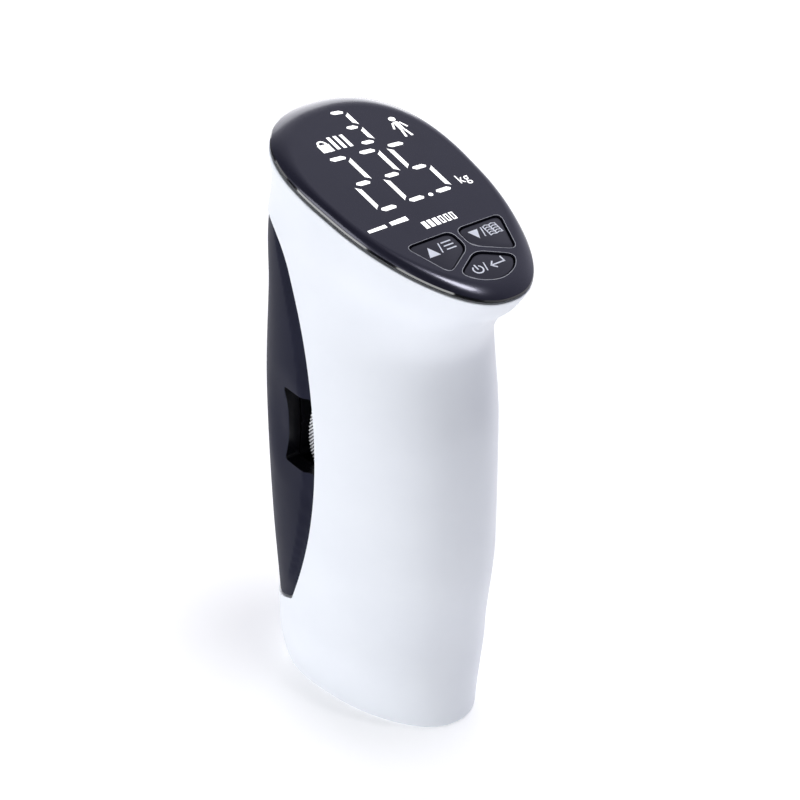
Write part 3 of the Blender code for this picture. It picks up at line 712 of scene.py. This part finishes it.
# ---- keys ----------------------------------------------------------------------------------
def rounded(corners, radius, points_per_corner=8):
    """Round each corner of a polygon with a short curve."""
    points = []
    count = len(corners)
    for i, corner in enumerate(corners):
        corner = Vector(corner)
        before = (Vector(corners[i - 1]) - corner).normalized()
        after = (Vector(corners[(i + 1) % count]) - corner).normalized()
        for t in steps(0, 1, points_per_corner):
            points.append(corner + radius * (before * (1 - t) ** 2 + after * t ** 2))
    return points


def button_outlines():
    """Three key outlines on the face; the gaps between them make a Y."""
    right = rounded(SIDE_BUTTON, CORNER_R)
    left = [Vector((point.x, -point.y)) for point in reversed(right)]
    half = END_BUTTON[1:-1]
    mirrored = [(down, -across) for down, across in reversed(half)]
    end = rounded([END_BUTTON[0]] + half + [END_BUTTON[-1]] + mirrored, CORNER_R)
    return {"up": left, "down": right, "power": end}


def offset_outline(outline, distance, height):
    """Outline grown by distance from its middle, placed at a height above the rim plane."""
    middle = sum(outline, Vector((0.0, 0.0))) / len(outline)
    ring = []
    for point in outline:
        spread = point - middle
        grown = middle + spread * (1 + distance / spread.length)
        ring.append(face_point(grown.x, grown.y + BUTTONS_Y, height))
    return ring


def make_buttons():
    """Three keys, each with a hidden flange and a rounded upper edge."""
    shoulder = BUTTON_TOP - BUTTON_EDGE
    for label, outline in button_outlines().items():
        rings = [offset_outline(outline, BUTTON_FLANGE, height) for height in FLANGE_H]
        rings += [offset_outline(outline, 0.0, FLANGE_H[1] + 0.02),
                  offset_outline(outline, 0.0, shoulder)]
        for angle in steps(0, math.pi / 2, 5)[1:]:
            rings.append(offset_outline(outline, -BUTTON_EDGE * (1 - math.cos(angle)),
                                        shoulder + BUTTON_EDGE * math.sin(angle)))
        button = new_object("key_" + label, loft(rings), ["button"], smooth_angle=60)
        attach(button, "key_" + label)
        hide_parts("button_" + label)


def make_trim():
    """Fine raised ring round each key opening, in a lighter grey that is a painted highlight."""
    edges = [loft([offset_outline(outline, offset, FACE_H + height) for offset, height in TRIM],
                  closed=True) for outline in button_outlines().values()]
    edge_highlight = new_object("button_trim", together(edges), ["edge_highlight"], smooth_angle=30)
    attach(edge_highlight, "housing")


# ---- flat marks on the face: outlines of (down, across) points -----------------------------
MARK_SINK = 0.01          # marks start this far under the surface they lie on
MARK_THICKNESS = 0.04
ROW_TURN = 0.0048         # the display's rows turn by this much per millimetre up the face,
ROW_TURN_START = 5.0      # from this far down it, in radians
SEGMENTS = {"2": "abged", "5": "afgcd", "3": "abgcd"}
SEGMENT_TIP = 0.35        # short cut at a segment's blunted point
FLAT_CUT = 0.7            # long cut at the end of a segment across the face
TALL_CUT = 0.95           # long cut at the end of a segment along the face
FINE = 0.34               # stroke of the legends


def add_flat(bm, outline, height, turned_rows=False, middle_y=0.0):
    """Add a thin plate with this outline to a bmesh."""
    points = []
    for down, across in outline:
        turn = ROW_TURN * max(0.0, ROW_TURN_START - down) if turned_rows else 0.0
        points.append((down + turn * across, across + middle_y))
    low = [bm.verts.new(face_point(*point, height)) for point in points]
    high = [bm.verts.new(face_point(*point, height + MARK_THICKNESS)) for point in points]
    count = len(outline)
    for i in range(count):
        j = (i + 1) % count
        bm.faces.new((low[i], low[j], high[j], high[i]))
    bm.faces.new(list(reversed(low)))
    bm.faces.new(high)


def block(down, across, height, width):
    """Plain rectangle; height is along the face."""
    return [(down - height / 2, across - width / 2), (down - height / 2, across + width / 2),
            (down + height / 2, across + width / 2), (down + height / 2, across - width / 2)]


def frame_shape(down, across, height, width, stroke):
    """The four sides of a hollow rectangle; they overlap a little at its corners."""
    return [block(down - height / 2 + stroke / 2, across, stroke, width),
            block(down + height / 2 - stroke / 2, across, stroke, width),
            block(down, across - width / 2 + stroke / 2, height - 1.9 * stroke, stroke),
            block(down, across + width / 2 - stroke / 2, height - 1.9 * stroke, stroke)]


def disc(down, across, radius, count=20):
    """Filled circle."""
    return [(down + radius * math.cos(math.tau * i / count),
             across + radius * math.sin(math.tau * i / count)) for i in range(count)]


def arc_band(down, across, radius, width, start, end, count=24):
    """Open ring from one angle to another, in degrees; 0 points up the face."""
    outer = []
    inner = []
    for angle in steps(math.radians(start), math.radians(end), count):
        for reach, side in ((radius + width / 2, outer), (radius - width / 2, inner)):
            side.append((down - reach * math.cos(angle), across + reach * math.sin(angle)))
    return outer + list(reversed(inner))


def line(start, end, width):
    """Straight stroke between two points."""
    start = Vector(start)
    end = Vector(end)
    along = (end - start).normalized()
    side = Vector((-along.y, along.x)) * width / 2
    return [tuple(start + side), tuple(end + side), tuple(end - side), tuple(start - side)]


def flat_segment(down, across, length, width):
    """Segment across the face: a lozenge with two blunted points."""
    half = length / 2
    w = width / 2
    return [(down - w * 0.1, across - half), (down - w, across - half + SEGMENT_TIP),
            (down - w, across + half - FLAT_CUT), (down + w * 0.1, across + half),
            (down + w, across + half - SEGMENT_TIP), (down + w, across - half + FLAT_CUT)]


def tall_segment(down, across, length, width, outwards):
    """Segment along the face: its outer edge is long and its ends are cut back inwards."""
    half = length / 2
    w = width / 2 * outwards
    tip = across + w * 0.55
    return [(down - half, across + w), (down - half + SEGMENT_TIP, tip),
            (down - half + TALL_CUT, across - w), (down + half - TALL_CUT, across - w),
            (down + half - SEGMENT_TIP, tip), (down + half, across + w)]


def digit(symbol, down, across, half_height, half_width, stroke):
    """Seven-segment numeral: list of segment outlines."""
    flat_length = 1.8 * half_width
    tall_length = half_height - stroke * 0.95
    places = {"a": (-half_height, 0), "g": (0, 0), "d": (half_height, 0),
              "f": (-half_height / 2, -half_width), "b": (-half_height / 2, half_width),
              "e": (half_height / 2, -half_width), "c": (half_height / 2, half_width)}
    shapes = []
    for name in SEGMENTS[symbol]:
        offset_down, offset_across = places[name]
        if name in "bcef":
            shapes.append(tall_segment(down + offset_down, across + offset_across, tall_length,
                                       stroke * 0.85, math.copysign(1, offset_across)))
        else:
            length = flat_length * (0.9 if name == "g" else 1.0)
            shapes.append(flat_segment(down + offset_down, across, length, stroke))
    return shapes


def padlock(down, across):
    """Closed padlock."""
    return [block(down + 0.9, across, 2.4, 2.6),
            arc_band(down - 0.5, across, 0.85, 0.42, -90, 90),
            block(down - 0.4, across - 0.85, 0.4, 0.42),
            block(down - 0.4, across + 0.85, 0.4, 0.42)]


def person(down, across):
    """Plain standing figure: a head, a trunk, two arms and two legs."""
    return [disc(down - 3.1, across, 0.75),
            block(down - 0.6, across, 2.9, 1.1),
            line((down - 1.7, across - 0.8), (down + 0.3, across - 1.6), 0.42),
            line((down - 1.7, across + 0.8), (down + 0.3, across + 1.6), 0.42),
            line((down + 1.0, across - 0.35), (down + 3.4, across - 0.75), 0.5),
            line((down + 1.0, across + 0.35), (down + 3.4, across + 0.75), 0.5)]


def level_boxes(down):
    """Row of six small boxes, the first three with a bar inside."""
    shapes = []
    for i, across in enumerate(steps(-3.6, 3.3, 6)):
        shapes += frame_shape(down, across, 2.2, 0.95, 0.27)
        if i < 3:
            shapes.append(block(down, across, 1.2, 0.3))
    return shapes


def open_book(down, across):
    """Two ruled pages, drawn as bowed lines between three upright strokes."""
    shapes = [line((down - 1.5, across + side), (down + 1.5, across + side), 0.26)
              for side in (-1.5, 0.0, 1.5)]
    for row in range(5):
        level = down - 1.4 + 0.7 * row
        for side in (-1, 1):
            middle = across + 0.75 * side
            shapes.append(line((level, across + 0.1 * side), (level - 0.25, middle), 0.22))
            shapes.append(line((level - 0.25, middle), (level, across + 1.45 * side), 0.22))
    return shapes


def make_readout():
    """Lit marks of the display: a force reading, a count, level bars and plain symbols."""
    shapes = []
    for symbol, across in (("2", -7.1), ("2", -0.1), ("5", 6.7)):
        shapes += digit(symbol, -5.95, across, half_height=8.4, half_width=2.0, stroke=1.15)
    shapes += digit("3", -22.45, 1.85, half_height=5.45, half_width=1.58, stroke=1.1)
    decimal_point = disc(2.6, 3.35, 0.52)
    dashes = [[(6.35, -15.5), (6.25, -11.1), (7.2, -11.1), (7.15, -15.5)],
              [(6.1, -9.9), (5.95, -5.7), (7.25, -5.7), (7.15, -9.9)]]
    bars = [block(-19.0, across, 4.1, 0.75) for across in (-4.9, -3.4, -1.9)]
    shapes += [decimal_point] + dashes + padlock(-18.9, -7.3) + bars
    shapes += person(-19.3, 11.2) + level_boxes(10.0)
    bm = bmesh.new()
    for shape in shapes:
        add_flat(bm, shape, FACE_H - MARK_SINK, turned_rows=True)
    readout = new_object("readout", bm, ["led"])
    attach(readout, "housing")


def make_unit():
    """The unit of the reading, in plain letters."""
    text = bpy.data.curves.new("unit", "FONT")
    text.body = "kg"
    text.size = 3.8 * MM
    text.extrude = 0.02 * MM
    text.space_character = 1.12
    text.align_x = "CENTER"
    source = bpy.data.objects.new("unit_source", text)
    bpy.context.scene.collection.objects.link(source)
    bpy.context.view_layer.update()
    mesh = bpy.data.meshes.new_from_object(
        source.evaluated_get(bpy.context.evaluated_depsgraph_get()))
    bpy.data.objects.remove(source, do_unlink=True)
    squeeze = 0.76
    place = Vector(face_point(2.6, 12.6, FACE_H + 0.02)) * MM
    right = Vector((0.0, 1.0, 0.0))
    up = Vector((-math.cos(TILT), 0.0, math.sin(TILT)))
    turn = Matrix((right * squeeze, up, right.cross(up))).transposed().to_4x4()
    mesh.transform(Matrix.Translation(place) @ turn)
    mesh.materials.clear()
    mesh.materials.append(MATERIALS["led"])
    unit = bpy.data.objects.new("unit_mark", mesh)
    bpy.context.scene.collection.objects.link(unit)
    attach(unit, "housing")


def make_legends():
    """Marks painted on the keys, with a faint painted glow, placed from the middle of the three
    keys.
    """
    slash = 0.26
    marks = {
        "up": [[(15.6, -7.87), (18.4, -6.5), (18.4, -9.24)],
               line((18.15, -5.8), (15.4, -5.05), slash)]
              + [line((level, -4.5), (level, -2.1), 0.32) for level in (15.65, 16.7, 17.75)],
        "down": [[(17.95, 3.8), (15.35, 2.6), (15.35, 5.0)],
                 line((17.9, 5.25), (15.25, 5.95), slash)] + open_book(16.75, 7.95),
        "power": [arc_band(25.45, -2.6, 1.08, FINE, 35, 325),
                  line((24.0, -2.6), (25.5, -2.6), FINE),
                  line((26.5, -1.0), (24.15, -0.35), slash),
                  line((24.1, 3.9), (25.75, 3.9), FINE),
                  line((25.6, 4.05), (25.6, 0.6), FINE),
                  line((25.7, 0.5), (24.6, 1.5), FINE),
                  line((25.5, 0.5), (26.6, 1.5), FINE)],
    }
    for label, shapes in marks.items():
        bm = bmesh.new()
        for shape in shapes:
            add_flat(bm, shape, BUTTON_TOP - MARK_SINK, middle_y=BUTTONS_Y)
        legend = new_object("legend_" + label, bm, ["legend"])
        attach(legend, "key_" + label)


# ---- knurled wheel -------------------------------------------------------------------------
def wheel_ring(x, base, knurl, axis_z, twist):
    """Ring of the wheel: knurl is the share of the full depth, twist an offset in teeth."""
    points = []
    count = TEETH * POINTS_PER_TOOTH
    for i in range(count):
        phase = (i / POINTS_PER_TOOTH + twist) % 1.0
        tooth = 1 - abs(2 * phase - 1)
        r = base - knurl * KNURL_DEPTH * (1 - tooth)
        angle = math.tau * i / count
        points.append((x, r * math.cos(angle), axis_z + r * math.sin(angle)))
    return points


def make_wheel():
    """Wheel with a slanted knurl round its rim, sized from the frame; its groove bottoms carry
    painted shade.
    """
    front_x, rear_x, radius, axis_z = wheel_size()
    chamfered = radius - WHEEL_CHAMFER
    places = [(front_x, BORE, 0), (front_x, chamfered - 1.2, 0), (front_x, chamfered - 0.4, 0),
              (front_x + 0.05, chamfered, 0.6)]
    places += [(x, radius, 1.0)
               for x in steps(front_x + WHEEL_CHAMFER, rear_x - WHEEL_CHAMFER, 60)]
    places += [(rear_x - 0.05, chamfered, 0.6), (rear_x, chamfered - 0.4, 0), (rear_x, BORE, 0)]
    rings = [wheel_ring(x, base, knurl, axis_z,
                        KNURL_TWIST * (x - front_x) / (rear_x - front_x))
             for x, base, knurl in places]
    wheel = new_object("knurled_wheel", loft(rings, closed=True), ["knurl", "knurl_shade"],
                       smooth_angle=30)
    # Faces near the bottom of each groove get the darker metal: painted shade in the knurl.
    deepest = radius - 1.1 * KNURL_DEPTH
    shallowest = radius - 0.6 * KNURL_DEPTH
    for face in wheel.data.polygons:
        x, y, z = face.center / MM
        if deepest < math.hypot(y, z - axis_z) < shallowest and abs(face.normal.x) < 0.7:
            face.material_index = 1
    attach(wheel, "wheel")
    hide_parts("adjust_wheel")


# ---- carried-over CAD nodes ----------------------------------------------------------------
NODE_MATERIALS = {
    "battery_door": "white", "display_chassis": "dark", "main_pcb": "board",
    "led_module": "display", "controller_chip": "dark", "buzzer": "dark",
    "switch_up": "steel", "switch_down": "steel", "switch_power": "steel",
    "grip_backplate": "dark", "plate_screw_lower": "steel", "plate_screw_upper": "steel",
    "lead_screw": "steel", "guide_rod_lower": "steel", "guide_rod_upper": "steel",
    "thrust_washer_front": "anodised", "thrust_washer_rear": "steel", "wheel_yoke": "anodised",
    "load_cell": "alloy", "cell_mount": "alloy", "cell_bolt_upper": "steel",
    "cell_bolt_lower": "steel", "strain_gauge_front": "film", "strain_gauge_rear": "film",
    "battery_cell_left": "cell", "battery_cell_right": "cell", "battery_top_contact": "board",
    "battery_door_contact": "steel", "signal_loom": "signal", "power_loom": "power",
}


def dress_nodes():
    """Give the CAD nodes that stay as they are their detailed materials."""
    for name, key in NODE_MATERIALS.items():
        mesh = bpy.data.objects[name].data
        mesh.materials.clear()
        mesh.materials.append(MATERIALS[key])


# ---- stage, light and camera, in metres ----------------------------------------------------
AZIMUTH = math.radians(51.9)
ELEVATION = math.radians(30.2)
DISTANCE = 0.630
TARGET = Vector((-0.0027, 0.0, 0.0721))
TO_CAMERA = Vector((math.sin(AZIMUTH) * math.cos(ELEVATION),
                    -math.cos(AZIMUTH) * math.cos(ELEVATION), math.sin(ELEVATION)))
FLOOR_REACH = 6000.0      # half of the floor's side, in millimetres
FLOOR_DROP = 0.0001
FLOOR_GLOW = 0.315
DAYLIGHT = (0.98, 0.99, 1.0)
LIGHTS = [                # name, direction, distance, size, power, colour
    ("key_side", (0.28, -0.96, 0.20), 0.9, 0.5, 2.5, DAYLIGHT),
    ("key_left", (-0.42, -0.90, 0.21), 0.9, 0.42, 2.1, DAYLIGHT),
    ("strip_left", (-0.80, -0.58, 0.17), 1.0, 0.35, 0.4, (0.97, 0.98, 1.0)),
    ("top_soft", (0.16, 0.06, 0.98), 1.2, 0.3, 6.2, WHITE),
    ("back_left", (-0.88, 0.42, 0.20), 1.0, 0.9, 5.5, WHITE),
]
BRIGHT_SIDE = (-0.35, 0.93, 0.10)  # direction in which the studio is brightest
STUDIO_SPAN = (-0.3, 1.0)          # dot products with it, from the darkest to the brightest
STUDIO_DARK = (0.02, 0.02, 0.025, 1.0)
STUDIO_MIDDLE = (0.12, 0.12, 0.15, 1.0)
STUDIO_BRIGHT = (0.84, 0.84, 0.97, 1.0)


def aim(obj, place, target):
    """Put a light or the camera at a place, looking at a target."""
    obj.location = place
    obj.rotation_euler = (Vector(target) - Vector(place)).to_track_quat("-Z", "Y").to_euler()


def make_floor():
    """Plain pale floor, which glows a little so that it stays bright into the distance."""
    bm = bmesh.new()
    bmesh.ops.create_grid(bm, x_segments=1, y_segments=1, size=FLOOR_REACH)
    floor = new_object("floor", bm)
    floor.location.z = -FLOOR_DROP
    mat, tree, shader = shader_material("floor_paper", 0.9, specular=0.1)
    tint(tree, shader, noise(tree, 2.0), (0.86, 0.86, 0.87), (0.88, 0.88, 0.89))
    shader.inputs["Emission Color"].default_value = (*WHITE, 1.0)
    shader.inputs["Emission Strength"].default_value = FLOOR_GLOW
    floor.data.materials.append(mat)


def make_world():
    """Studio that is bright behind on the right, dim overhead and dark on the near side."""
    world = bpy.data.worlds.new("studio")
    world.use_nodes = True
    tree = world.node_tree
    place = tree.nodes.new("ShaderNodeTexCoord")
    dot = tree.nodes.new("ShaderNodeVectorMath")
    dot.operation = "DOT_PRODUCT"
    dot.inputs[1].default_value = BRIGHT_SIDE
    tree.links.new(place.outputs["Generated"], dot.inputs[0])
    spread = tree.nodes.new("ShaderNodeMapRange")
    spread.inputs["From Min"].default_value = STUDIO_SPAN[0]
    spread.inputs["From Max"].default_value = STUDIO_SPAN[1]
    tree.links.new(dot.outputs["Value"], spread.inputs["Value"])
    ramp = tree.nodes.new("ShaderNodeValToRGB")
    ramp.color_ramp.elements[0].color = STUDIO_DARK
    ramp.color_ramp.elements[1].color = STUDIO_BRIGHT
    ramp.color_ramp.elements.new(0.30).color = STUDIO_MIDDLE
    tree.links.new(spread.outputs["Result"], ramp.inputs["Fac"])
    tree.links.new(ramp.outputs["Color"], tree.nodes["Background"].inputs["Color"])
    bpy.context.scene.world = world


def make_lights():
    """The studio and its soft round lights, each in a direction from the object."""
    make_world()
    for name, direction, distance, size, power, colour in LIGHTS:
        data = bpy.data.lights.new(name, "AREA")
        data.shape = "DISK"
        data.size = size
        data.energy = power
        data.color = colour
        light = bpy.data.objects.new(name, data)
        bpy.context.scene.collection.objects.link(light)
        aim(light, TARGET + Vector(direction).normalized() * distance, TARGET)
    bpy.context.scene.view_settings.view_transform = "Standard"


def make_camera():
    """Long lens on the palm side, to the left and above."""
    data = bpy.data.cameras.new("camera")
    data.lens = 135.0
    data.sensor_width = 36.0
    camera = bpy.data.objects.new("camera", data)
    bpy.context.scene.collection.objects.link(camera)
    aim(camera, TARGET + TO_CAMERA * DISTANCE, TARGET)
    bpy.context.scene.camera = camera


make_shell()
make_grip()
make_slot_liner()
make_cover()
make_rim_band()
make_gasket()
make_buttons()
make_trim()
make_readout()
make_unit()
make_legends()
make_wheel()
dress_nodes()
make_floor()
make_lights()
make_camera()
